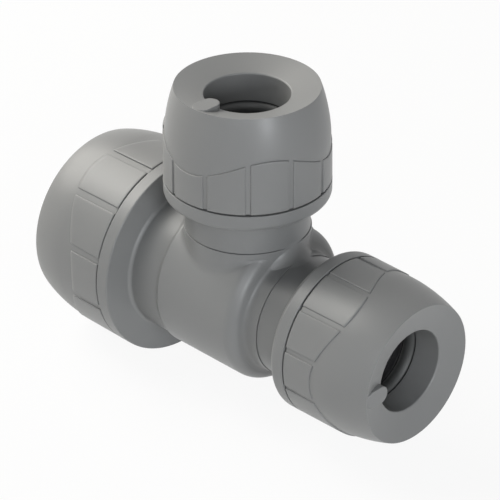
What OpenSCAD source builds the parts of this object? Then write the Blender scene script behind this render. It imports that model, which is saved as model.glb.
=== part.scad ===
// Push-fit reducing tee for plastic plumbing pipe, in millimetres.
// The origin is where the three pipe centre-lines cross.
// The run lies along X, with its large socket towards -X and its small socket towards +X.
// The branch is a second small socket, towards +Z.
// Each socket holds a screwed cap, a rubber seal, a spacer washer and a toothed grab ring.

/* [Pipes] */
// Outside diameter of the pipe in the two small sockets
small_pipe_od = 15; // [14.5:0.1:15.5]
// Outside diameter of the pipe in the large socket
large_pipe_od = 22; // [21.5:0.1:22.5]
// Clearance all round between a pipe and the bore that guides it
bore_gap = 0.1; // [0.05:0.05:0.2]
// Clearance all round between a pipe and the mouth of its cap
mouth_gap = 0.25; // [0.2:0.05:0.4]
// Radius of the waterway behind a small pipe
small_waterway_r = 5.75; // [5:0.25:6.5]
// Radius of the waterway behind the large pipe
large_waterway_r = 9.6; // [8.5:0.1:10]

/* [Layout] */
// Centre of the tee to the joint line under the branch cap
branch_reach = 24; // [23:0.5:30]
// Centre of the tee to the joint line under the small run cap
run_reach = 23.5; // [23:0.5:30]
// Centre of the tee to the joint line under the large run cap
large_reach = 20.4; // [19.5:0.1:26]
// Depth of the pipe stop below the joint line of a small socket
small_stop_depth = 11; // [10:0.5:12]
// Depth of the pipe stop below the joint line of the large socket
large_stop_depth = 10.9; // [10:0.1:12]

/* [Body] */
// Wall of a small socket below its flange
small_neck_wall = 3.7; // [3.2:0.1:4.2]
// Wall of the large socket below its flange
large_neck_wall = 3.1; // [2.6:0.1:3.6]
// How much slimmer a neck is at its flange than at its root
neck_draft = 0.2; // [0:0.05:0.4]
// Step from the large neck out to the barrel
barrel_step = 0.4; // [0.2:0.1:0.8]
// Centre of the tee to the end of the barrel on the large side
barrel_back = 9.1; // [8.5:0.1:10]
// Centre of the tee to the end of the barrel on the small side
barrel_front = 10.2; // [9.5:0.1:11]
// Radius of the rounded end of the barrel
barrel_round = 2; // [1:0.25:2.5]
// Step from a small neck out to the thicker ring at its root
root_step = 0.4; // [0.2:0.1:0.6]
// Depth of the top of that root ring below the joint line
root_depth = 10; // [9.5:0.1:10.4]
// Thickness of a small flange
small_flange_t = 3.3; // [2.8:0.1:3.8]
// Thickness of the large flange
large_flange_t = 2.85; // [2.4:0.05:3.4]
// How much thicker a small flange is at its neck than at its edge
small_flange_taper = 0.1; // [0:0.05:0.4]
// How much thicker the large flange is at its neck than at its edge
large_flange_taper = 0.4; // [0:0.05:0.6]
// Radius on the lower edge of a small flange
small_flange_round = 1.1; // [0.5:0.1:1.5]
// Radius on the lower edge of the large flange
large_flange_round = 0.3; // [0.2:0.1:0.8]
// Radius of the inside corner where a flange meets its neck
flange_fillet = 0.7; // [0.4:0.1:1.2]
// Length of the blend that runs up the branch from the barrel
blend_up = 2.2; // [1.5:0.1:2.6]
// Length of the blend that runs out along the barrel from the branch
blend_out = 2.4; // [1.5:0.1:3]

/* [Seal stack] */
// Section diameter of a small rubber seal
small_seal_d = 3; // [2.6:0.1:3.2]
// Section diameter of the large rubber seal
large_seal_d = 3.4; // [3:0.1:3.6]
// How far a seal stands in past the skin of its pipe, all round
seal_squeeze = 0.3; // [0.1:0.05:0.4]
// Clearance all round between a pipe and its spacer washer
washer_gap = 0.55; // [0.45:0.05:0.8]
// Thickness of a spacer washer
washer_t = 1.4; // [1:0.1:1.6]
// Thickness of the steel of a grab ring
grab_t = 0.5; // [0.4:0.05:0.6]
// Width of the flat outer rim of a grab ring
grab_rim = 1.3; // [1:0.1:1.6]
// Drop of the tooth tips below the rim of a grab ring
grab_drop = 0.9; // [0.6:0.1:1.1]
// Width of the slots between the teeth
tooth_slot = 0.7; // [0.5:0.1:1]
// Number of teeth on a small grab ring
small_teeth = 14; // [10:1:18]
// Number of teeth on the large grab ring
large_teeth = 20; // [14:1:24]
// Clearance round the loose pieces of the stack
stack_gap = 0.1; // [0.05:0.05:0.15]

/* [Caps] */
// Height of a small cap above its joint line
small_cap_h = 18; // [17:0.5:21]
// Height of the large cap above its joint line
large_cap_h = 19.2; // [18.5:0.1:22]
// Height of the inner shoulder of a small cap above its joint line
small_shoulder_h = 10.95; // [10.6:0.05:11.4]
// Height of the inner shoulder of the large cap above its joint line
large_shoulder_h = 11.6; // [11.2:0.1:12]
// Wall of the threaded spigot of a small socket
small_spigot_wall = 2.7; // [2.2:0.1:3.2]
// Wall of the threaded spigot of the large socket
large_spigot_wall = 3.05; // [2.5:0.05:3.5]
// Clearance all round between a spigot and the skirt of its cap
skirt_gap = 0.25; // [0.2:0.05:0.4]
// Wall of the skirt of a cap
skirt_wall = 1.8; // [1.3:0.05:2]
// Gap left between the skirt of a cap and the flange under it
joint_gap = 0.3; // [0.2:0.05:0.5]
// How far the domed crown of a small cap draws in from skirt to rim
small_crown_draw = 1.9; // [1.2:0.05:2.2]
// How far the domed crown of the large cap draws in from skirt to rim
large_crown_draw = 1.75; // [1.2:0.05:2.2]
// Radius of the arc of the crown of a small cap
small_crown_r = 27; // [22:1:32]
// Radius of the arc of the crown of the large cap
large_crown_r = 23; // [20:1:30]
// Radius on the outer rim of a cap
rim_round = 0.4; // [0.2:0.05:0.6]
// Radius on the edge of the mouth of a cap
mouth_round = 0.35; // [0.2:0.05:0.5]
// Depth of the dished end face, from the rim down to the mouth
dish_depth = 1.55; // [1:0.05:2]

/* [Grip] */
// Number of raised grip panels round a cap
panels = 12; // [8:1:16]
// How far the panels stand proud of the skirt at their foot
grip_proud = 0.25; // [0.2:0.05:0.6]
// How much less proud the panels are at their top
grip_draft = 0.1; // [0:0.05:0.15]
// Width of the channels between the panels of a small cap
small_channel_w = 0.9; // [0.6:0.1:1.4]
// Width of the channels between the panels of the large cap
large_channel_w = 1.3; // [0.8:0.1:1.8]
// Mean height of the wavy top of the panels on a small cap
small_wave_h = 8.3; // [7.5:0.1:9]
// Mean height of the wavy top of the panels on the large cap
large_wave_h = 9.8; // [9:0.1:10.5]
// Rise and fall of the wave on a small cap about its mean height
small_wave_rise = 2.1; // [1.2:0.1:2.6]
// Rise and fall of the wave on the large cap about its mean height
large_wave_rise = 2.4; // [1.2:0.1:2.8]
// Number of waves round a cap
waves = 3; // [2:1:4]
// Width of the tongue across the end face
tongue_w = 3.7; // [2.5:0.1:4.5]
// How far the flat of the tongue lies below the rim
tongue_drop = 0.45; // [0.2:0.05:0.6]
// How far the round nose of the tongue would pass the mouth, which trims it
tongue_reach = 0.35; // [0:0.05:0.6]

/* [Hidden] */
$fn = 96;

body_grey = [0.52, 0.53, 0.53];
cap_grey = [0.55, 0.56, 0.56];
washer_grey = [0.3, 0.31, 0.32];
rubber_black = [0.12, 0.13, 0.12];
spring_steel = [0.7, 0.71, 0.72];

// Sides of the faceted blend and of the wave cutter
blend_sides = 90;
wave_sides = 96;
// Steps in a small arc, in the curve of the blend and in the arc of the crown
arc_steps = 5;
blend_steps = 6;
crown_steps = 8;
// Overlap of shapes that are joined or cut
over = 0.4;
// Height of the edge of the blend over the skins that it runs out on
blend_lip = 0.08;

// A socket is small or large, and these give each of its sizes
function of_size(large, small_value, large_value) = large ? large_value : small_value;
function pipe_r(large) = of_size(large, small_pipe_od, large_pipe_od) / 2;
function bore_r(large) = pipe_r(large) + bore_gap;
function mouth_r(large) = pipe_r(large) + mouth_gap;
function waterway_r(large) = of_size(large, small_waterway_r, large_waterway_r);
function stop_depth(large) = of_size(large, small_stop_depth, large_stop_depth);
function seal_d(large) = of_size(large, small_seal_d, large_seal_d);
function seal_in_r(large) = pipe_r(large) - seal_squeeze;
function seat_r(large) = seal_in_r(large) + seal_d(large) + stack_gap;
function spigot_r(large) = seat_r(large) + of_size(large, small_spigot_wall, large_spigot_wall);
function skirt_in_r(large) = spigot_r(large) + skirt_gap;
function skirt_r(large) = skirt_in_r(large) + skirt_wall;
function crown_r(large) = of_size(large, small_crown_r, large_crown_r);
function rim_r(large) = skirt_r(large) - of_size(large, small_crown_draw, large_crown_draw);
function grip_r(large) = skirt_r(large) + grip_proud;
function neck_r(large) = bore_r(large) + of_size(large, small_neck_wall, large_neck_wall);
function flange_t(large) = of_size(large, small_flange_t, large_flange_t);
function flange_taper(large) = of_size(large, small_flange_taper, large_flange_taper);
function flange_round(large) = of_size(large, small_flange_round, large_flange_round);
function cap_h(large) = of_size(large, small_cap_h, large_cap_h);
function shoulder_h(large) = of_size(large, small_shoulder_h, large_shoulder_h);
function channel_w(large) = of_size(large, small_channel_w, large_channel_w);
function wave_h(large) = of_size(large, small_wave_h, large_wave_h);
function wave_rise(large) = of_size(large, small_wave_rise, large_wave_rise);
function teeth(large) = of_size(large, small_teeth, large_teeth);

// Heights above the joint line, from the shoulder of the cap down the stack
function spigot_h(large) = shoulder_h(large) - stack_gap;
function seal_h(large) = spigot_h(large) - stack_gap / 2 - seal_d(large) / 2;
function washer_top(large) = seal_h(large) - seal_d(large) / 2 - stack_gap / 2;
function grab_top(large) = washer_top(large) - washer_t - stack_gap / 2;
function seat_h(large) = grab_top(large) - grab_t;
function pocket_h(large) = seat_h(large) - grab_drop - stack_gap;

barrel_r = neck_r(true) + barrel_step;
root_r = neck_r(false) + root_step;
branch_root_top = branch_reach - root_depth;
run_root_top = run_reach - root_depth;

// Points on an arc about a centre, from one angle to another
function arc(centre, r, from, to, steps) =
    [for (i = [0:steps]) let (a = from + (to - from) * i / steps) centre + r * [cos(a), sin(a)]];

// Outline of the neck, flange and spigot of a socket, as radius and height along its axis
function socket_outline(large, reach) =
    let (under = reach - flange_t(large),
         face = reach - joint_gap / 2,
         end = reach + spigot_h(large),
         edge = flange_round(large))
    concat(
        arc([neck_r(large) - neck_draft + flange_fillet, under - flange_taper(large) - flange_fillet],
            flange_fillet, 180, 90, arc_steps),
        arc([grip_r(large) - edge, under + edge], edge, -90, 0, arc_steps),
        [[grip_r(large), face], [spigot_r(large), face],
         [spigot_r(large), end - over], [spigot_r(large) - over, end]]);

module along_run() {
    rotate([0, 90, 0]) children();
}

module along_large() {
    rotate([0, -90, 0]) children();
}

// Large socket, barrel and small socket of the run, turned about the X axis
module run_form() {
    along_large()
        rotate_extrude()
            polygon(concat([[0, 0], [barrel_r, 0], [barrel_r, barrel_back], [neck_r(true), barrel_back]],
                           socket_outline(true, large_reach),
                           [[0, large_reach + spigot_h(true)]]));
    along_run()
        rotate_extrude()
            polygon(concat([[0, 0], [barrel_r, 0]],
                           arc([barrel_r - barrel_round, barrel_front - barrel_round],
                               barrel_round, 0, 90, arc_steps),
                           [[root_r, barrel_front], [root_r, run_root_top], [neck_r(false), run_root_top]],
                           socket_outline(false, run_reach),
                           [[0, run_reach + spigot_h(false)]]));
}

// Small socket of the branch, turned about the Z axis
module branch_form() {
    rotate_extrude()
        polygon(concat([[0, 0], [root_r, 0], [root_r, branch_root_top], [neck_r(false), branch_root_top]],
                       socket_outline(false, branch_reach),
                       [[0, branch_reach + spigot_h(false)]]));
}

// Radius of the run at a place along it, without its sockets
function run_r(x) =
    x < -barrel_back ? neck_r(true) :
    x <= barrel_front - barrel_round ? barrel_r :
    x < barrel_front ? barrel_r - barrel_round
                       + sqrt(pow(barrel_round, 2) - pow(x - barrel_front + barrel_round, 2)) :
    root_r;
// Height of the run's skin at a distance from the branch axis, in one direction round it
function skin_z(r, a) = sqrt(max(pow(run_r(r * cos(a)), 2) - pow(r * sin(a), 2), 1));

// Slope of the run's skin at that place
function skin_slope(r, a) = (skin_z(r + 0.1, a) - skin_z(r - 0.1, a)) / 0.2;

// One section of the blend: a curve down the branch and out along the run's skin,
// tangent to both, closed inside the walls
function blend_section(a) =
    let (corner = skin_z(root_r, a),
         top_z = min(corner + blend_up, max(branch_root_top, corner + blend_up / 2)),
         // Above the root ring the blend closes in on the slimmer neck
         closing = min(max((top_z - branch_root_top) / root_step, 0), 1),
         top_r = root_r - closing * root_step + blend_lip,
         // On the small side the blend ends with the root ring of the run
         foot_r = min(root_r + blend_out / sqrt(1 + pow(skin_slope(root_r + 1, a), 2)),
                      (run_root_top - blend_lip) / max(cos(a), 0.1)),
         foot_z = skin_z(foot_r, a) + blend_lip,
         turn_z = foot_z - skin_slope(foot_r, a) * (foot_r - top_r),
         turn = [root_r + blend_lip, min(max(turn_z, corner + blend_lip), top_z)])
    concat(
        [for (i = [0:blend_steps])
            let (s = i / blend_steps)
            (1 - s) * (1 - s) * [top_r, top_z] + 2 * s * (1 - s) * turn + s * s * [foot_r, foot_z]],
        [[foot_r, foot_z - 1.2], [neck_r(false) - over, corner - 2], [neck_r(false) - over, top_z]]);

// Saddle blend between the branch and the run
module root_blend() {
    sections = [for (i = [0:blend_sides - 1]) blend_section(360 * i / blend_sides)];
    n = len(sections[0]);
    points = [for (i = [0:blend_sides - 1]) for (p = sections[i])
        let (a = 360 * i / blend_sides) [p.x * cos(a), p.x * sin(a), p.y]];
    faces = [for (i = [0:blend_sides - 1]) for (j = [0:n - 1])
        let (k = (i + 1) % blend_sides, m = (j + 1) % n)
        each [[i * n + j, k * n + m, i * n + m], [i * n + j, k * n + j, k * n + m]]];
    polyhedron(points, faces, convexity = 8);
}

// Everything that is bored out of one socket, about its own axis
module socket_bores(large, reach) {
    // Clear past the open end of the spigot
    end = reach + spigot_h(large) + over;
    translate([0, 0, reach - stop_depth(large)])
        cylinder(r = bore_r(large), h = end - reach + stop_depth(large));
    translate([0, 0, reach + pocket_h(large)])
        cylinder(r = seat_r(large) - grab_rim, h = end - reach - pocket_h(large));
    translate([0, 0, reach + seat_h(large)])
        cylinder(r = seat_r(large), h = end - reach - seat_h(large));
}

// One-piece moulded body of the tee
module tee_body() {
    color(body_grey)
        difference() {
            union() {
                run_form();
                branch_form();
                root_blend();
            }
            along_large() socket_bores(true, large_reach);
            along_run() socket_bores(false, run_reach);
            socket_bores(false, branch_reach);
            // Waterways up to the pipe stops
            translate([-large_reach + stop_depth(true) - over, 0, 0])
                along_run() cylinder(r = waterway_r(true), h = large_reach - stop_depth(true) + over);
            along_run() cylinder(r = waterway_r(false), h = run_reach - stop_depth(false) + over);
            cylinder(r = waterway_r(false), h = branch_reach - stop_depth(false) + over);
        }
}

// Outline of a cap, as radius and height above its joint line.
// The crown, the rim and the dished end face run into each other with no corner.
function cap_outline(large) =
    let (foot = joint_gap / 2,
         top = cap_h(large),
         draw_in = skirt_r(large) - rim_r(large),
         crown_foot = top - sqrt(pow(crown_r(large), 2) - pow(crown_r(large) - draw_in, 2)),
         crown_centre = [skirt_r(large) - crown_r(large), crown_foot],
         crown_end = asin((top - rim_round - crown_foot) / (crown_r(large) - rim_round)),
         rim_centre = crown_centre + (crown_r(large) - rim_round) * [cos(crown_end), sin(crown_end)],
         lip_centre = [mouth_r(large) + mouth_round, top - dish_depth - mouth_round],
         dish_angle = atan2(rim_centre.y - lip_centre.y, rim_centre.x - lip_centre.x))
    concat(
        [[skirt_in_r(large), foot], [skirt_r(large), foot]],
        arc(crown_centre, crown_r(large), 0, crown_end * (1 - 1 / crown_steps), crown_steps - 1),
        arc(rim_centre, rim_round, crown_end, 90 + dish_angle, arc_steps),
        arc(lip_centre, mouth_round, 90 + dish_angle, 180, arc_steps),
        [[mouth_r(large), shoulder_h(large)], [skirt_in_r(large), shoulder_h(large)]]);

// Height of the wavy top of the panels in one direction round the cap, lowest under the tongue
function wave_z(large, a) = wave_h(large) - wave_rise(large) * cos(waves * (a + 90));

// Solid above the wave, which trims the tops of the panels
module above_wave(large) {
    inner = skirt_in_r(large);
    outer = grip_r(large) + 1;
    top = cap_h(large);
    points = [for (i = [0:wave_sides - 1])
        let (a = 360 * i / wave_sides, c = cos(a), s = sin(a), z = wave_z(large, a))
        each [[inner * c, inner * s, z], [outer * c, outer * s, z],
              [outer * c, outer * s, top], [inner * c, inner * s, top]]];
    faces = [for (i = [0:wave_sides - 1]) for (j = [0:3])
        let (k = (i + 1) % wave_sides, m = (j + 1) % 4)
        each [[i * 4 + j, k * 4 + m, k * 4 + j], [i * 4 + j, i * 4 + m, k * 4 + m]]];
    polyhedron(points, faces, convexity = 8);
}

// Raised grip panels with a wavy top, parted by straight channels
module grip_panels(large) {
    crest = wave_h(large) + wave_rise(large) + over;
    difference() {
        rotate_extrude()
            polygon([[skirt_r(large) - over, joint_gap / 2], [grip_r(large), joint_gap / 2],
                     [grip_r(large) - grip_draft, crest], [skirt_r(large) - over, crest]]);
        above_wave(large);
        for (i = [0:panels - 1])
            rotate([0, 0, 360 * (i + 0.5) / panels])
                translate([skirt_in_r(large), -channel_w(large) / 2, -over])
                    cube([grip_r(large), channel_w(large), cap_h(large)]);
    }
}

// Flat tongue across the dished end face, from the rim to the mouth
module tongue(large) {
    low = cap_h(large) - dish_depth - over;
    high = cap_h(large) - tongue_drop;
    root_y = rim_r(large) - rim_round * 2;
    nose_y = mouth_r(large) + tongue_w / 2 - tongue_reach;
    translate([0, 0, low])
        linear_extrude(height = high - low)
            difference() {
                union() {
                    translate([-tongue_w / 2, -root_y])
                        square([tongue_w, root_y - nose_y]);
                    translate([0, -nose_y])
                        circle(d = tongue_w);
                }
                circle(r = mouth_r(large));
            }
}

// Screwed cap that keeps the seal stack in its socket
module socket_cap(large) {
    color(cap_grey) {
        rotate_extrude() polygon(cap_outline(large));
        grip_panels(large);
        tongue(large);
    }
}

// Rubber seal that closes on the pipe
module seal(large) {
    color(rubber_black)
        translate([0, 0, seal_h(large)])
            rotate_extrude()
                translate([seal_in_r(large) + seal_d(large) / 2, 0])
                    circle(d = seal_d(large), $fn = 48);
}

// Plastic washer between the seal and the grab ring
module spacer_washer(large) {
    low = washer_top(large) - washer_t;
    inner = pipe_r(large) + washer_gap;
    outer = seat_r(large) - stack_gap;
    edge = stack_gap * 2;
    color(washer_grey)
        rotate_extrude()
            polygon([[inner, low], [outer - edge, low], [outer, low + edge],
                     [outer, washer_top(large) - edge], [outer - edge, washer_top(large)],
                     [inner + edge * 2, washer_top(large)], [inner, washer_top(large) - edge * 2]]);
}

// Dished spring-steel ring whose teeth grip the pipe
module grab_ring(large) {
    outer = seat_r(large) - stack_gap;
    bend_r = outer - grab_rim;
    tip_r = seal_in_r(large);
    tip_h = seat_h(large) - grab_drop;
    color(spring_steel)
        difference() {
            rotate_extrude()
                polygon([[bend_r, seat_h(large)], [outer, seat_h(large)], [outer, grab_top(large)],
                         [bend_r, grab_top(large)], [tip_r, tip_h + grab_t], [tip_r, tip_h]]);
            for (i = [0:teeth(large) - 1])
                rotate([0, 0, 360 * i / teeth(large)])
                    translate([0, -tooth_slot / 2, pocket_h(large)])
                        cube([bend_r, tooth_slot, cap_h(large)]);
        }
}

module at_branch() {
    translate([0, 0, branch_reach]) children();
}

module at_run() {
    translate([run_reach, 0, 0]) along_run() children();
}

module at_large() {
    translate([-large_reach, 0, 0]) along_large() children();
}

module branch_cap() { at_branch() socket_cap(false); }
module branch_seal() { at_branch() seal(false); }
module branch_spacer_washer() { at_branch() spacer_washer(false); }
module branch_grab_ring() { at_branch() grab_ring(false); }
module run_cap() { at_run() socket_cap(false); }
module run_seal() { at_run() seal(false); }
module run_spacer_washer() { at_run() spacer_washer(false); }
module run_grab_ring() { at_run() grab_ring(false); }
module large_cap() { at_large() socket_cap(true); }
module large_seal() { at_large() seal(true); }
module large_spacer_washer() { at_large() spacer_washer(true); }
module large_grab_ring() { at_large() grab_ring(true); }

tee_body();
branch_cap();
branch_seal();
branch_spacer_washer();
branch_grab_ring();
run_cap();
run_seal();
run_spacer_washer();
run_grab_ring();
large_cap();
large_seal();
large_spacer_washer();
large_grab_ring();
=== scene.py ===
from math import asin, cos, pi, radians, sin, sqrt

import bmesh
import bpy
from mathutils import Matrix, Vector


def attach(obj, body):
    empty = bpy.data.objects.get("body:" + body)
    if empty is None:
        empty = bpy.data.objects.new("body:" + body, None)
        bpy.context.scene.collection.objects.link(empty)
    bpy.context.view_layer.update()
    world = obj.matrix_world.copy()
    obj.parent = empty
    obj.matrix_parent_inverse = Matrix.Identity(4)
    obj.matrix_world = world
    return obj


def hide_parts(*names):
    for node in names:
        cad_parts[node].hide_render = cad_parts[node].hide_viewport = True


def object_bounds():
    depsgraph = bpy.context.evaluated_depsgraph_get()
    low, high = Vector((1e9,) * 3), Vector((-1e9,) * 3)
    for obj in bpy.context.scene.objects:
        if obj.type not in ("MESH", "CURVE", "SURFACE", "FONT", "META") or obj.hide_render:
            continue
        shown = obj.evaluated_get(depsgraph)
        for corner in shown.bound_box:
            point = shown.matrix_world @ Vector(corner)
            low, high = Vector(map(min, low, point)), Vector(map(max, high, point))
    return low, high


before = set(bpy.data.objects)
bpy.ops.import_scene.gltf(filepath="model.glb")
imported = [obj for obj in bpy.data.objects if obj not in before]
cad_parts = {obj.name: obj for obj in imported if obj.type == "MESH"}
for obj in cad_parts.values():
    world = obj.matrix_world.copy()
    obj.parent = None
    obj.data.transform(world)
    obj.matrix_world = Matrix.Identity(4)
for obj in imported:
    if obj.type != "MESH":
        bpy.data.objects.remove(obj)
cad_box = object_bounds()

# Run of the tee body
# A one-piece moulding in grey plastic: a hollow run with a large and a small socket.
# Each end has a neck, a flange and a spigot that the cap screws on. Sizes are in millimetres.
to_metres = Matrix.Scale(0.001, 4)
along_run = Matrix.Rotation(radians(90), 4, "Y")
large_reach = 20.4
run_reach = 23.5
joint_gap = 0.3
barrel_r = 14.6
barrel_back = -9.1
barrel_front = 10.4
front_round = 2.6
top_rise = 0.85
root_r = 11.7
root_foot_round = 0.28
root_top_round = 0.08
root_depth = 10
run_root_top = run_reach - root_depth
groove_r = 11.32
run_groove_w = 0.07
neck_r = 11.52
large_neck_r = 14.2
slot_r = 13.95
slot_w = 0.2
waterway_r = 5.75
large_waterway_r = 9.6
small_socket = dict(neck_top_r=11.15, neck_top=3.4, flange_r=15.3, flange_t=3.3, flange_round=1.1,
                    spigot_r=13.0, spigot_h=10.85, seat_r=10.3, seat_h=5.8, pocket_r=9.0, bore_r=7.6,
                    stop_depth=11, stop_r=waterway_r)
large_socket = dict(neck_top_r=14.0, neck_top=3.25, flange_r=19.55, flange_t=2.85, flange_round=0.25,
                    spigot_r=17.25, spigot_h=11.5, seat_r=14.2, seat_h=6.05, pocket_r=12.9, bore_r=11.1,
                    stop_depth=10.9, stop_r=large_waterway_r)


def turned(corners, steps=192, rounding_steps=6):
    # The corners are radius, height and rounding, round a closed outline.
    # A large rounding gets seven steps to the millimetre
    bm = bmesh.new()
    outline = [bm.verts.new((r, 0, h)) for r, h, rounding in corners]
    bm.faces.new(outline)
    for vert, (r, h, rounding) in zip(outline, corners):
        if rounding:
            bmesh.ops.bevel(bm, geom=[vert], offset=rounding, offset_type="OFFSET",
                            segments=max(rounding_steps, round(rounding * 7)), profile=0.5,
                            affect="VERTICES", material=-1)
    bmesh.ops.delete(bm, geom=bm.faces[:], context="FACES_ONLY")
    bmesh.ops.spin(bm, geom=bm.verts[:] + bm.edges[:], cent=(0, 0, 0), axis=(0, 0, 1),
                   angle=2 * pi, steps=steps, use_merge=True)
    bmesh.ops.remove_doubles(bm, verts=bm.verts[:], dist=0.0001)
    loose = [e for e in bm.edges if not e.link_faces]
    bmesh.ops.delete(bm, geom=loose, context="EDGES")
    bmesh.ops.recalc_face_normals(bm, faces=bm.faces[:])
    return bm


def socket_outline(reach, size):
    # From the top of the neck, over the flange and the end of the spigot, in to the pipe stop
    neck_round = 0.7
    flange_edge = 0.12
    spigot_edge = 0.4
    inner_edge = 0.2
    pocket_h = 1
    face = reach - joint_gap / 2
    end = reach + size["spigot_h"]
    ledge = reach + size["seat_h"]
    pocket = ledge - pocket_h
    stop = reach - size["stop_depth"]
    return [(size["neck_top_r"], reach - size["neck_top"], neck_round),
            (size["flange_r"], reach - size["flange_t"], size["flange_round"]),
            (size["flange_r"], face, flange_edge), (size["spigot_r"], face, 0),
            (size["spigot_r"], end, spigot_edge), (size["seat_r"], end, inner_edge),
            (size["seat_r"], ledge, 0), (size["pocket_r"], ledge, 0),
            (size["pocket_r"], pocket, 0), (size["bore_r"], pocket, 0),
            (size["bore_r"], stop, 0), (size["stop_r"], stop, inner_edge)]


def workpiece(name, bm):
    mesh = bpy.data.meshes.new(name)
    bm.to_mesh(mesh)
    bm.free()
    piece = bpy.data.objects.new(name, mesh)
    bpy.context.scene.collection.objects.link(piece)
    return piece


def worked(piece):
    # The mesh that the modifiers leave, with the modifiers gone
    shape = piece.evaluated_get(bpy.context.evaluated_depsgraph_get())
    mesh = bpy.data.meshes.new_from_object(shape)
    piece.modifiers.clear()
    piece.data = mesh
    return piece


def cut(piece, cutter):
    step = piece.modifiers.new("cut", "BOOLEAN")
    step.operation = "DIFFERENCE"
    step.solver = "EXACT"
    step.object = cutter
    worked(piece)
    bpy.data.objects.remove(cutter)
    return piece


def finish_piece(piece, material, nodes, place=Matrix.Identity(4)):
    piece.data.transform(to_metres @ place)
    for face in piece.data.polygons:
        face.use_smooth = True
    piece.data.set_sharp_from_angle(angle=radians(40))
    even = piece.modifiers.new("even shading", "WEIGHTED_NORMAL")
    even.weight = 60
    even.keep_sharp = True
    piece.data.materials.clear()
    piece.data.materials.append(material)
    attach(piece, "root")
    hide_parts(*nodes)
    return piece


def grain_group():
    # Fine moulded grain, faint flow shade and uneven gloss, from Object coordinates
    group = bpy.data.node_groups.new("moulded grain", "ShaderNodeTree")
    sockets = group.interface
    sockets.new_socket("Colour", in_out="INPUT", socket_type="NodeSocketColor")
    sockets.new_socket("Shade", in_out="INPUT", socket_type="NodeSocketFloat")
    sockets.new_socket("Roughness", in_out="INPUT", socket_type="NodeSocketFloat")
    sockets.new_socket("Grain per metre", in_out="INPUT", socket_type="NodeSocketFloat")
    sockets.new_socket("Depth", in_out="INPUT", socket_type="NodeSocketFloat")
    sockets.new_socket("Colour", in_out="OUTPUT", socket_type="NodeSocketColor")
    sockets.new_socket("Roughness", in_out="OUTPUT", socket_type="NodeSocketFloat")
    sockets.new_socket("Normal", in_out="OUTPUT", socket_type="NodeSocketVector")
    n = group.nodes
    link = group.links.new
    given = n.new("NodeGroupInput")
    result = n.new("NodeGroupOutput")
    where = n.new("ShaderNodeTexCoord")
    # Slow change of shade from the flow of the plastic
    flow = n.new("ShaderNodeTexNoise")
    flow.inputs["Scale"].default_value = 90
    flow.inputs["Detail"].default_value = 4
    link(where.outputs["Object"], flow.inputs["Vector"])
    spread = n.new("ShaderNodeMapRange")
    link(flow.outputs["Fac"], spread.inputs["Value"])
    low = n.new("ShaderNodeMath")
    low.operation = "SUBTRACT"
    low.inputs[0].default_value = 1
    link(given.outputs["Shade"], low.inputs[1])
    high = n.new("ShaderNodeMath")
    high.operation = "ADD"
    high.inputs[0].default_value = 1
    link(given.outputs["Shade"], high.inputs[1])
    link(low.outputs[0], spread.inputs["To Min"])
    link(high.outputs[0], spread.inputs["To Max"])
    shade = n.new("ShaderNodeVectorMath")
    shade.operation = "SCALE"
    link(given.outputs["Colour"], shade.inputs[0])
    link(spread.outputs["Result"], shade.inputs["Scale"])
    link(shade.outputs["Vector"], result.inputs["Colour"])
    # Gloss that wanders a little with the same flow
    gloss = n.new("ShaderNodeMapRange")
    gloss.inputs["To Min"].default_value = -0.05
    gloss.inputs["To Max"].default_value = 0.05
    link(flow.outputs["Fac"], gloss.inputs["Value"])
    rough = n.new("ShaderNodeMath")
    rough.operation = "ADD"
    link(given.outputs["Roughness"], rough.inputs[0])
    link(gloss.outputs["Result"], rough.inputs[1])
    link(rough.outputs[0], result.inputs["Roughness"])
    # Fine grain of the mould
    grain = n.new("ShaderNodeTexNoise")
    grain.inputs["Detail"].default_value = 3
    link(where.outputs["Object"], grain.inputs["Vector"])
    link(given.outputs["Grain per metre"], grain.inputs["Scale"])
    bump = n.new("ShaderNodeBump")
    bump.inputs["Strength"].default_value = 1
    link(grain.outputs["Fac"], bump.inputs["Height"])
    link(given.outputs["Depth"], bump.inputs["Distance"])
    link(bump.outputs["Normal"], result.inputs["Normal"])
    return group


moulded_grain = grain_group()


def grained(name, colour, shade, roughness, grain_per_metre, depth, metallic=0):
    material = bpy.data.materials.new(name)
    material.use_nodes = True
    n = material.node_tree.nodes
    link = material.node_tree.links.new
    skin = n["Principled BSDF"]
    skin.inputs["Metallic"].default_value = metallic
    grain = n.new("ShaderNodeGroup")
    grain.node_tree = moulded_grain
    grain.inputs["Colour"].default_value = (*colour, 1)
    grain.inputs["Shade"].default_value = shade
    grain.inputs["Roughness"].default_value = roughness
    grain.inputs["Grain per metre"].default_value = grain_per_metre
    grain.inputs["Depth"].default_value = depth
    link(grain.outputs["Colour"], skin.inputs["Base Color"])
    link(grain.outputs["Roughness"], skin.inputs["Roughness"])
    link(grain.outputs["Normal"], skin.inputs["Normal"])
    return material


body_plastic = grained("grey moulded body", colour=(0.225, 0.228, 0.228), shade=0.03, roughness=0.39,
                       grain_per_metre=3500, depth=0.00001)
large_end = [(r, -h, rounding) for r, h, rounding in socket_outline(large_reach, large_socket)]
barrel = [
    (large_neck_r, barrel_back - slot_w, 0.05), (slot_r, barrel_back - slot_w, 0),
    (slot_r, barrel_back, 0), (barrel_r, barrel_back, 0.12),
    (barrel_r, barrel_front, front_round), (root_r, barrel_front, root_foot_round),
    (root_r, run_root_top, root_top_round), (groove_r, run_root_top, 0),
    (groove_r, run_root_top + run_groove_w, 0), (neck_r, run_root_top + run_groove_w, 0)]
water_step = [(waterway_r, 0, 0), (large_waterway_r, 0, 0)]
run = workpiece("body_run", turned(
    barrel + socket_outline(run_reach, small_socket) + water_step + large_end[::-1]))
run.data.transform(along_run)


def top_lift(z):
    # Nothing at the bottom of the barrel, and the whole rise on top
    return top_rise * ((z / barrel_r + 1) / 2) ** 2


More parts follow.
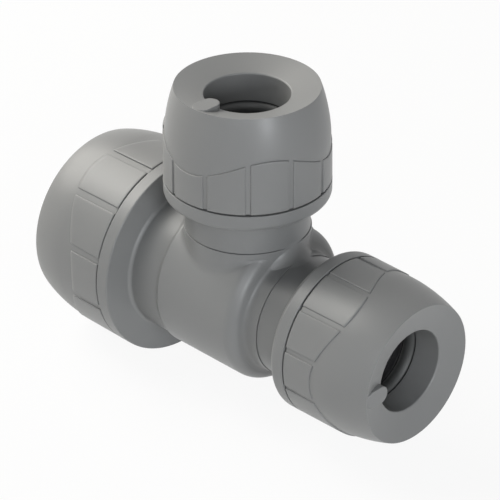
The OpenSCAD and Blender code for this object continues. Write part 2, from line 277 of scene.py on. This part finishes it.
def lift_barrel(verts):
    # The barrel stands a little higher on top, where it carries the branch
    for vert in verts:
        least = barrel_r - 0.3 if vert.co.x < 0 else root_r + root_foot_round + 0.01
        if barrel_back - 0.01 < vert.co.x < barrel_front + 0.1 and Vector(vert.co.yz).length > least:
            vert.co.z += top_lift(vert.co.z)


lift_barrel(run.data.vertices)
way_r = waterway_r + 0.1
way_top = 20
branch_way = workpiece("branch_way", turned([
    (0, 0, 0), (way_r, 0, 0), (way_r, way_top, 0), (0, way_top, 0)]))
cut(run, branch_way)
finish_piece(run, body_plastic, ["tee_body"])

# Branch of the tee body
# The small socket that stands on the run, of the same moulding.
# Its foot ends inside the wall of the run.
branch_reach = 24
branch_root_top = branch_reach - root_depth
branch_groove_w = 0.13
branch_foot = 3
branch_root = [
    (waterway_r, branch_foot, 0), (root_r, branch_foot, 0),
    (root_r, branch_root_top, root_top_round), (groove_r, branch_root_top, 0),
    (groove_r, branch_root_top + branch_groove_w, 0), (neck_r, branch_root_top + branch_groove_w, 0)]
branch = workpiece("body_branch", turned(branch_root + socket_outline(branch_reach, small_socket)))
# What would stand inside the run is cut away, half way into its walls
inside_r = 9
large_inside_r = 12.2
inside_end = 14
run_inside = workpiece("run_inside", turned([
    (0, -inside_end, 0), (large_inside_r, -inside_end, 0), (large_inside_r, 0, 0),
    (inside_r, 0, 0), (inside_r, inside_end, 0), (0, inside_end, 0)]))
run_inside.data.transform(along_run)
cut(branch, run_inside)
finish_piece(branch, body_plastic, ["tee_body"])

# Blend between branch and barrel
# The mould has a soft hollow all round the root of the branch.
# The two forms are fused, eased, and bored out so that the sockets stay open.
swell = 0.03
blend_back = -16
blend_back_r = 14.02
blend_short = 0.6
neck_draft = 0.025
run_form_end = run_root_top - blend_short
branch_form_end = branch_root_top - blend_short
fused = turned([
    (0, blend_back, 0), (blend_back_r + swell, blend_back, 0),
    (large_neck_r + swell, barrel_back, 0), (barrel_r + swell, barrel_back, 0),
    (barrel_r + swell, barrel_front + swell, front_round),
    (root_r + swell, barrel_front + swell, root_foot_round),
    (root_r + swell, run_form_end, 0), (0, run_form_end, 0)])
bmesh.ops.transform(fused, matrix=along_run, verts=fused.verts[:])
lift_barrel(fused.verts)
run_form = bpy.data.meshes.new("run_form")
fused.to_mesh(run_form)
fused.free()
fused = turned([(0, 0, 0), (root_r + swell, 0, 0), (root_r + swell, branch_form_end, 0),
                (0, branch_form_end, 0)])
fused.from_mesh(run_form)
blend = workpiece("body_blend", fused)
fuse = blend.modifiers.new("fuse", "REMESH")
fuse.mode = "VOXEL"
fuse.voxel_size = 0.22
ease = blend.modifiers.new("ease", "SMOOTH")
ease.factor = 0.5
ease.iterations = 47
worked(blend)


def over_run(point):
    # Height of a point over the skin of the run
    if point.x < barrel_back:
        skin = large_neck_r - neck_draft * (barrel_back - point.x)
    elif point.x < barrel_front - front_round:
        skin = barrel_r
    elif point.x < barrel_front:
        turn = (point.x - barrel_front) / front_round + 1
        skin = barrel_r - front_round * (1 - sqrt(1 - turn ** 2))
    else:
        skin = root_r
    level = point.z
    if barrel_back < point.x < barrel_front:
        level -= top_lift(level - top_lift(level))
    return Vector((point.y, level)).length - skin


# Only the hollow itself shows, and the rest sinks softly under the turned skins
hollow_from = 0.12
sunk = 0.045
eased = bmesh.new()
eased.from_mesh(blend.data)
eased.normal_update()
for vert in eased.verts:
    proud = min(over_run(vert.co), Vector(vert.co.xy).length - root_r)
    share = min(1, max(0, 1 - proud / hollow_from))
    vert.co -= vert.normal * sunk * share * share
eased.to_mesh(blend.data)
eased.free()
small_core_r = 9.2
large_core_r = 12.4
core_back = blend_back - 1
core_step = 7
core_end = 14
branch_core_end = 16
run_core = workpiece("run_core", turned([
    (0, core_back, 0), (large_core_r, core_back, 0), (large_core_r, core_step, 0),
    (small_core_r, core_step, 0), (small_core_r, core_end, 0), (0, core_end, 0)]))
run_core.data.transform(along_run)
cut(blend, run_core)
branch_core = workpiece("branch_core", turned([
    (0, 0, 0), (small_core_r, 0, 0), (small_core_r, branch_core_end, 0), (0, branch_core_end, 0)]))
cut(blend, branch_core)
# The parting line at the back end of the barrel goes through the blend too
line_in = slot_r - 0.05
line_out = 16
line_ring = workpiece("line_ring", turned([
    (line_in, barrel_back - slot_w, 0), (line_out, barrel_back - slot_w, 0),
    (line_out, barrel_back, 0), (line_in, barrel_back, 0)]))
line_ring.data.transform(along_run)
cut(blend, line_ring)
finish_piece(blend, body_plastic, ["tee_body"])

# Crook between the two small necks
# The inner corner of the tee is filled to a round that narrows towards its sides.
# It is part of the same moulding.
crook_width = 18
crook_neck_r = 11.56
crook_mid_round = 3.4
crook_side_round = 0.9
crook_narrow_at = 6
crook_edge_sink = 0.14
crook_edge_angle = 0.5
crook_wall = 0.8
crook = bmesh.new()
sheet = bmesh.ops.create_grid(crook, x_segments=24, y_segments=48, size=0.5)["verts"]
for vert in sheet:
    a = (vert.co.x + 0.5) * pi / 2
    y = vert.co.y * crook_width
    corner = sqrt(crook_neck_r ** 2 - y ** 2)
    narrowing = (crook_mid_round - crook_side_round) * (y / crook_narrow_at) ** 2
    crook_round = max(crook_side_round, crook_mid_round - narrowing)
    # Both edges of the sheet sink a little into the necks
    sink_x = crook_edge_sink * max(0, 1 - a / crook_edge_angle) ** 2
    sink_z = crook_edge_sink * max(0, 1 - (pi / 2 - a) / crook_edge_angle) ** 2
    vert.co = (corner + crook_round * (1 - cos(a)) - sink_x, y,
               corner + crook_round * (1 - sin(a)) - sink_z)
thick = bmesh.ops.extrude_face_region(crook, geom=crook.faces[:])["geom"]
for vert in [e for e in thick if isinstance(e, bmesh.types.BMVert)]:
    vert.co.x -= crook_wall
    vert.co.z -= crook_wall
bmesh.ops.recalc_face_normals(crook, faces=crook.faces[:])
finish_piece(workpiece("body_crook", crook), body_plastic, ["tee_body"])

# Grab rings
# A stamped ring of stainless spring steel with teeth that lean inwards.
# It drops in first and sits on the ledge of the counterbore.
at_branch = Matrix.Translation((0, 0, branch_reach))
at_run = Matrix.Translation((run_reach, 0, 0)) @ along_run
at_large = Matrix.Translation((-large_reach, 0, 0)) @ Matrix.Rotation(radians(-90), 4, "Y")
steel = grained("stamped spring steel", colour=(0.56, 0.56, 0.55), shade=0.08, roughness=0.3,
                grain_per_metre=6000, depth=0.000004, metallic=1)
ring_t = 0.5
ring_side_gap = 0.1


def added_to(bm, rim):
    # All that the mesh holds besides the flat rim of the ring
    parts = bm.verts[:] + bm.edges[:] + bm.faces[:]
    return [e for e in parts if (e if isinstance(e, bmesh.types.BMVert) else e.verts[0]) not in rim]


def grab_ring(name, nodes, place, size, tip, teeth):
    outer = size["seat_r"] - ring_side_gap
    bend = outer - 1.3
    root = bend + 0.05
    seat = size["seat_h"]
    drop = 0.9
    slot = 0.7
    bm = turned([(bend, seat, 0), (outer, seat, 0.05), (outer, seat + ring_t, 0.05),
                 (bend, seat + ring_t, 0)], steps=160)
    rim = set(bm.verts)
    tooth = [bm.verts.new((r, 0, h)) for r, h in [
        (root, seat), (root, seat + ring_t), (tip, seat - drop + ring_t), (tip, seat - drop)]]
    bm.faces.new(tooth)
    sweep = 2 * pi / teeth - 2 * asin(slot / 2 / tip)
    bmesh.ops.spin(bm, geom=added_to(bm, rim), cent=(0, 0, 0), axis=(0, 0, 1), angle=sweep, steps=8)
    bmesh.ops.spin(bm, geom=added_to(bm, rim), cent=(0, 0, 0), axis=(0, 0, 1),
                   angle=2 * pi * (teeth - 1) / teeth, steps=teeth - 1, use_duplicate=True)
    bmesh.ops.recalc_face_normals(bm, faces=bm.faces[:])
    return finish_piece(workpiece(name, bm), steel, nodes, place)


grab_ring("grab_branch", ["branch_grab_ring"], at_branch, small_socket, tip=7.2, teeth=14)
grab_ring("grab_run", ["run_grab_ring"], at_run, small_socket, tip=7.2, teeth=14)
grab_ring("grab_large", ["large_grab_ring"], at_large, large_socket, tip=10.7, teeth=20)

# Spacer washers
# A flat ring of hard dark plastic on each grab ring.
# It keeps the rubber of the seal off the teeth.
washer_plastic = grained("dark washer", colour=(0.05, 0.05, 0.053), shade=0.06, roughness=0.5,
                         grain_per_metre=4000, depth=0.000008)
washer_t = 1.4
stack_gap = 0.05


def spacer_washer(name, nodes, place, size, inner):
    outer = size["seat_r"] - ring_side_gap
    low = size["seat_h"] + ring_t + stack_gap
    high = low + washer_t
    bm = turned([(inner, low, 0), (outer, low, 0.2), (outer, high, 0.2), (inner, high, 0.4)], steps=128)
    return finish_piece(workpiece(name, bm), washer_plastic, nodes, place)


spacer_washer("washer_branch", ["branch_spacer_washer"], at_branch, small_socket, inner=8.05)
spacer_washer("washer_run", ["run_spacer_washer"], at_run, small_socket, inner=8.05)
spacer_washer("washer_large", ["large_spacer_washer"], at_large, large_socket, inner=11.55)

# Seals
# A moulded rubber ring on each washer, just behind the shoulder of the cap.
# It is held by the cap and closes on the pipe.
seal_rubber = grained("seal rubber", colour=(0.065, 0.067, 0.066), shade=0.1, roughness=0.5,
                      grain_per_metre=5000, depth=0.000006)


def seal(name, nodes, place, size, inner, section):
    height = size["seat_h"] + ring_t + washer_t + 2 * stack_gap + section / 2
    bm = bmesh.new()
    turn = Matrix.Translation((inner + section / 2, 0, height)) @ Matrix.Rotation(pi / 2, 4, "X")
    bmesh.ops.create_circle(bm, segments=36, radius=section / 2, matrix=turn)
    bmesh.ops.spin(bm, geom=bm.verts[:] + bm.edges[:], cent=(0, 0, 0), axis=(0, 0, 1),
                   angle=2 * pi, steps=160, use_merge=True)
    bmesh.ops.recalc_face_normals(bm, faces=bm.faces[:])
    return finish_piece(workpiece(name, bm), seal_rubber, nodes, place)


seal("seal_branch", ["branch_seal"], at_branch, small_socket, inner=7.2, section=3.0)
seal("seal_run", ["run_seal"], at_run, small_socket, inner=7.2, section=3.0)
seal("seal_large", ["large_seal"], at_large, large_socket, inner=10.7, section=3.4)

# Caps
# Each socket is closed by a screwed cap of the same grey plastic.
# It has a dished end face with a tongue, a domed crown, and grip panels with a wavy top.
cap_plastic = grained("grey moulded cap", colour=(0.235, 0.237, 0.236), shade=0.03, roughness=0.39,
                      grain_per_metre=3500, depth=0.00001)
panel_count = 12
waves = 3
fade_deep = 0.3


def grip_panel(bm, i, foot, grip, deep, channel, wave_mid, wave_rise, low=0, fade=0, side_gap=0,
               crest_gap=0):
    # One sheet bent round the skirt and trimmed to the wave, then thickened inwards
    half_gap = asin((channel / 2 - side_gap) / grip)
    start = 2 * pi * (i - 0.5) / panel_count + half_gap
    sweep = 2 * pi / panel_count - 2 * half_gap
    sheet = bmesh.ops.create_grid(bm, x_segments=24, y_segments=16, size=0.5)["verts"]
    for vert in sheet:
        a = start + sweep * (vert.co.x + 0.5)
        crest = wave_mid - wave_rise * cos(waves * (a + pi / 2)) + crest_gap
        rise = vert.co.y + 0.5
        r = grip - low * rise
        if fade:
            r -= fade_deep * max(0, 1 - (crest - foot) * (1 - rise) / fade) ** 2
        vert.co = (r * cos(a), r * sin(a), foot + (crest - foot) * rise)
    faces = list({f for v in sheet for f in v.link_faces})
    raised = bmesh.ops.extrude_face_region(bm, geom=faces)["geom"]
    for vert in [e for e in raised if isinstance(e, bmesh.types.BMVert)]:
        inward = deep / Vector(vert.co.xy).length
        vert.co.x *= inward
        vert.co.y *= inward
    bmesh.ops.recalc_face_normals(bm, faces=bm.faces[:])
    return sheet


def add_tongue(bm, mouth, rim, top, dish):
    # From the rim side of the dish to just over the mouth, sunk a little into the face
    tongue_r = 1.7
    over_mouth = 0.2
    under_face = 0.4
    below_rim = 0.07
    centre = mouth + tongue_r - over_mouth
    end = rim - 0.25
    nose = bmesh.ops.create_circle(bm, cap_ends=True, segments=64, radius=tongue_r,
                                   matrix=Matrix.Translation((0, -centre, top - dish - under_face)))
    root = [v for v in nose["verts"] if v.co.y < -centre + 0.0001]
    bmesh.ops.translate(bm, verts=root, vec=(0, centre + tongue_r - end, 0))
    pad = list({f for v in nose["verts"] for f in v.link_faces})
    lifted = bmesh.ops.extrude_face_region(bm, geom=pad)["geom"]
    tops = [e for e in lifted if isinstance(e, bmesh.types.BMVert)]
    bmesh.ops.translate(bm, verts=tops, vec=(0, 0, dish + under_face - below_rim))
    top_edges = [e for e in lifted if isinstance(e, bmesh.types.BMEdge)]
    bmesh.ops.recalc_face_normals(bm, faces=bm.faces[:])
    bmesh.ops.bevel(bm, geom=top_edges, offset=0.15, offset_type="OFFSET", segments=4,
                    profile=0.5, affect="EDGES", material=-1)
    bmesh.ops.recalc_face_normals(bm, faces=bm.faces[:])


def socket_cap(name, nodes, place, mouth, skirt_in, skirt, grip, rim, top, crown_r, shoulder,
               channel, wave_mid, wave_rise, crest_gap, fade):
    foot = joint_gap / 2
    dish = 1.55
    # The crown is a rounding whose two tangents meet at one corner
    crown_foot = top - sqrt(crown_r ** 2 - (crown_r - skirt + rim) ** 2)
    slope = asin((top - crown_foot) / crown_r)
    tangent = crown_r * (1 - cos(slope)) / sin(slope)
    base = workpiece(name, turned([
        (skirt_in, foot, 0), (skirt, foot, 0.1), (skirt, crown_foot + tangent, tangent * 0.999),
        (rim, top, 0.4), (mouth, top - dish, 0.25), (mouth, shoulder, 0.1),
        (skirt_in, shoulder, 0)], rounding_steps=12))
    # A hairline along the crest of each grip panel of a small cap
    hairline_deep = 0.12
    if crest_gap:
        seats = bmesh.new()
        for i in range(panel_count):
            grip_panel(seats, i, foot + 1, grip + 0.3, skirt - hairline_deep, channel, wave_mid,
                       wave_rise, side_gap=-0.1, crest_gap=crest_gap)
        cut(base, workpiece("panel_seats", seats))
    # The panels reach into the skirt and lean in a little towards their tops
    panel_root = 0.4
    bm = bmesh.new()
    bm.from_mesh(base.data)
    for i in range(panel_count):
        sheet = grip_panel(bm, i, foot, grip, skirt - panel_root, channel, wave_mid, wave_rise,
                           low=0.1, fade=fade)
        outer = set(sheet)
        edges = {e for v in sheet for e in v.link_edges if e.other_vert(v) in outer}
        rim_edges = [e for e in edges if e.is_boundary or e.calc_face_angle(0) > 0.8]
        bmesh.ops.bevel(bm, geom=rim_edges, offset=0.18, offset_type="OFFSET", segments=4,
                        profile=0.5, affect="EDGES", material=-1)
    add_tongue(bm, mouth, rim, top, dish)
    bm.to_mesh(base.data)
    bm.free()
    return finish_piece(base, cap_plastic, nodes, place)


small_cap = dict(mouth=7.75, skirt_in=13.25, skirt=14.98, grip=15.28, rim=13.15, top=18,
                 crown_r=27, shoulder=10.95, channel=0.9, wave_mid=8.3, wave_rise=2.1,
                 crest_gap=0.06, fade=0)
large_cap = dict(mouth=11.25, skirt_in=17.5, skirt=19.22, grip=19.53, rim=17.55, top=19.2,
                 crown_r=23, shoulder=11.6, channel=1.3, wave_mid=9.8, wave_rise=2.4,
                 crest_gap=0, fade=0.8)
socket_cap("cap_branch", ["branch_cap"], at_branch, **small_cap)
socket_cap("cap_run", ["run_cap"], at_run, **small_cap)
socket_cap("cap_large", ["large_cap"], at_large, **large_cap)

# Floor and world
# A plain pale floor under the lowest collar, in an even white studio.
floor_half = 6
floor_gap = 0.0005
floor_mesh = bpy.data.meshes.new("floor")
floor_bm = bmesh.new()
bmesh.ops.create_grid(floor_bm, x_segments=1, y_segments=1, size=floor_half)
floor_bm.to_mesh(floor_mesh)
floor_bm.free()
floor_mesh.transform(Matrix.Translation((0, 0, cad_box[0][2] - floor_gap)))
floor = bpy.data.objects.new("floor", floor_mesh)
bpy.context.scene.collection.objects.link(floor)


def white_behind(nodes, link):
    # One where a ray looks straight, by gloss or through glass at the background
    seen = nodes.new("ShaderNodeLightPath")
    gloss = nodes.new("ShaderNodeMath")
    gloss.use_clamp = True
    link(seen.outputs["Is Camera Ray"], gloss.inputs[0])
    link(seen.outputs["Is Glossy Ray"], gloss.inputs[1])
    through = nodes.new("ShaderNodeMath")
    through.use_clamp = True
    link(gloss.outputs[0], through.inputs[0])
    link(seen.outputs["Is Transmission Ray"], through.inputs[1])
    return through.outputs[0]


floor_paint = bpy.data.materials.new("pale floor")
floor_paint.use_nodes = True
n = floor_paint.node_tree.nodes
link = floor_paint.node_tree.links.new
paint = n["Principled BSDF"]
paint.inputs["Base Color"].default_value = (0.86, 0.86, 0.86, 1)
paint.inputs["Roughness"].default_value = 0.9
white = n.new("ShaderNodeEmission")
white.inputs["Strength"].default_value = 1
share = n.new("ShaderNodeMath")
share.operation = "MULTIPLY"
share.inputs[1].default_value = 0.92
link(white_behind(n, link), share.inputs[0])
mixed = n.new("ShaderNodeMixShader")
link(share.outputs[0], mixed.inputs[0])
link(paint.outputs[0], mixed.inputs[1])
link(white.outputs[0], mixed.inputs[2])
link(mixed.outputs[0], n["Material Output"].inputs["Surface"])
floor_mesh.materials.append(floor_paint)

world = bpy.data.worlds.new("studio")
bpy.context.scene.world = world
world.use_nodes = True
w = world.node_tree.nodes
link = world.node_tree.links.new
sky = w["Background"]
sky.inputs["Color"].default_value = (1, 1, 1, 1)
strength = w.new("ShaderNodeMapRange")
strength.inputs["To Min"].default_value = 0.04
strength.inputs["To Max"].default_value = 1
link(white_behind(w, link), strength.inputs["Value"])
link(strength.outputs["Result"], sky.inputs["Strength"])

# Lamps
# Soft lamps round the object, at a plain level, with places and sizes in metres.
# Each is given by its turn and height in degrees, and looks at the crossing of the pipes.
lamp_far = 0.6


def lamp(name, turn, height, size, power, colour):
    light = bpy.data.lights.new(name, "AREA")
    light.size = size
    light.energy = power
    light.color = colour
    obj = bpy.data.objects.new(name, light)
    bpy.context.scene.collection.objects.link(obj)
    obj.location = (Matrix.Rotation(radians(turn), 4, "Z")
                    @ Matrix.Rotation(radians(-height), 4, "X") @ Vector((0, -lamp_far, 0)))
    obj.rotation_euler = (-obj.location).to_track_quat("-Z", "Y").to_euler()
    return obj


lamp("key", turn=272, height=38, size=0.42, power=2.6, colour=(1, 0.97, 0.91))
lamp("top", turn=301, height=55, size=0.3, power=1.3, colour=(1, 0.99, 0.94))
lamp("front", turn=72, height=12, size=0.14, power=1.2, colour=(0.94, 0.97, 1))
lamp("side", turn=38, height=31, size=0.28, power=0.7, colour=(0.93, 0.96, 1))

# Camera
# The photograph's place in metres, with its long lens and level horizon.
eye = (0.263633, -0.265540, 0.230319)
turn = 44.737
look_down = 30.703
roll = -0.193
lens = bpy.data.cameras.new("camera")
lens.sensor_width = 36
lens.lens = 170.48
lens.clip_start = 0.01
camera = bpy.data.objects.new("camera", lens)
bpy.context.scene.collection.objects.link(camera)
camera.matrix_world = (Matrix.Translation(eye) @ Matrix.Rotation(radians(turn), 4, "Z")
                       @ Matrix.Rotation(radians(90 - look_down), 4, "X")
                       @ Matrix.Rotation(radians(roll), 4, "Z"))
bpy.context.scene.camera = camera
bpy.context.scene.view_settings.view_transform = "Standard"
